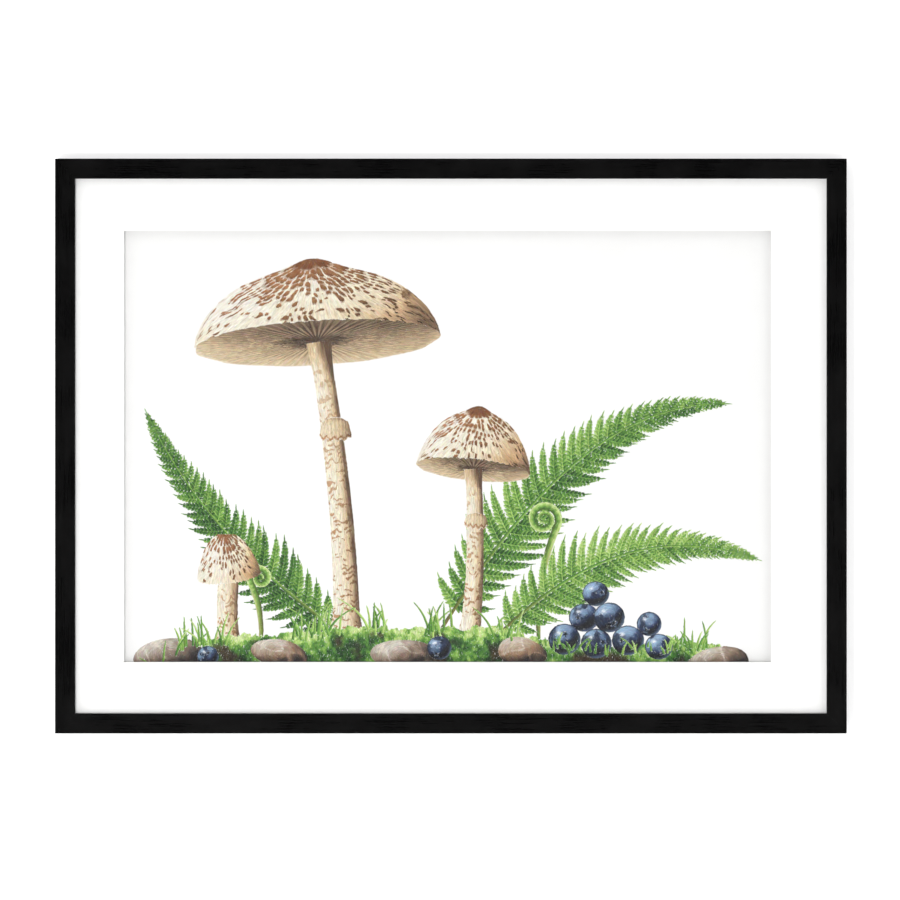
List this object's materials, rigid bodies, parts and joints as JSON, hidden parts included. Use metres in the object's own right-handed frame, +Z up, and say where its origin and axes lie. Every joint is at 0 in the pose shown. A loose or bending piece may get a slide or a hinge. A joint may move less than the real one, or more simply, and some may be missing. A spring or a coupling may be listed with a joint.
{
  "type": "framed print",
  "caption": "Wall-hung landscape picture: black mitred box frame, glass, white bevelled window mat and a pencil-style still-life print, with sawtooth hangers and felt bumpers behind.",
  "frame": {"origin": "on the wall plane, midway between the two wall nails that the hangers sit on", "axes": "+X to the viewer's right along the long side, +Y from the front into the wall, +Z up"},
  "size_m": [0.7452, 0.0335, 0.5412],
  "materials": {
    "frame": "satin black paint on wood, with a faint grain and finely eased edges",
    "glass": "clear low-reflection picture glass with ground edges",
    "mat": "white mat board with a fine tooth and a white bevelled core",
    "board": "white paper-faced foam board",
    "print": "matt white cotton paper carrying a still life of mushrooms, fern and berries in coloured-pencil strokes",
    "backing": "smooth brown hardboard with a fine fibre mottle",
    "steel": "bright rolled steel",
    "brass": "thin brass plate on pressed steel, slightly dulled",
    "felt": "dense black felt"
  },
  "bodies": {
    "root": {"rail_top": "frame", "rail_right": "frame", "rail_bottom": "frame", "rail_left": "frame", "glazing": "glass", "mat_board": "mat", "spacer_top": "board", "spacer_bottom": "board", "spacer_left": "board", "spacer_right": "board", "print_sheet": "print", "mount_board": "board", "backing_board": "backing", "point_top_1": "steel", "point_top_2": "steel", "point_top_3": "steel", "point_top_4": "steel", "point_top_5": "steel", "point_right_1": "steel", "point_right_2": "steel", "point_right_3": "steel", "point_right_4": "steel", "point_bottom_1": "steel", "point_bottom_2": "steel", "point_bottom_3": "steel", "point_bottom_4": "steel", "point_bottom_5": "steel", "point_left_1": "steel", "point_left_2": "steel", "point_left_3": "steel", "point_left_4": "steel", "wedge_top_right_1": "steel", "wedge_top_right_2": "steel", "wedge_bottom_right_1": "steel", "wedge_bottom_right_2": "steel", "wedge_bottom_left_1": "steel", "wedge_bottom_left_2": "steel", "wedge_top_left_1": "steel", "wedge_top_left_2": "steel", "hanger_left": "brass", "hanger_right": "brass", "hanger_nail_left_1": "steel", "hanger_nail_left_2": "steel", "hanger_nail_right_1": "steel", "hanger_nail_right_2": "steel", "bumper_left": "felt", "bumper_right": "felt"}
  },
  "joints": []
}
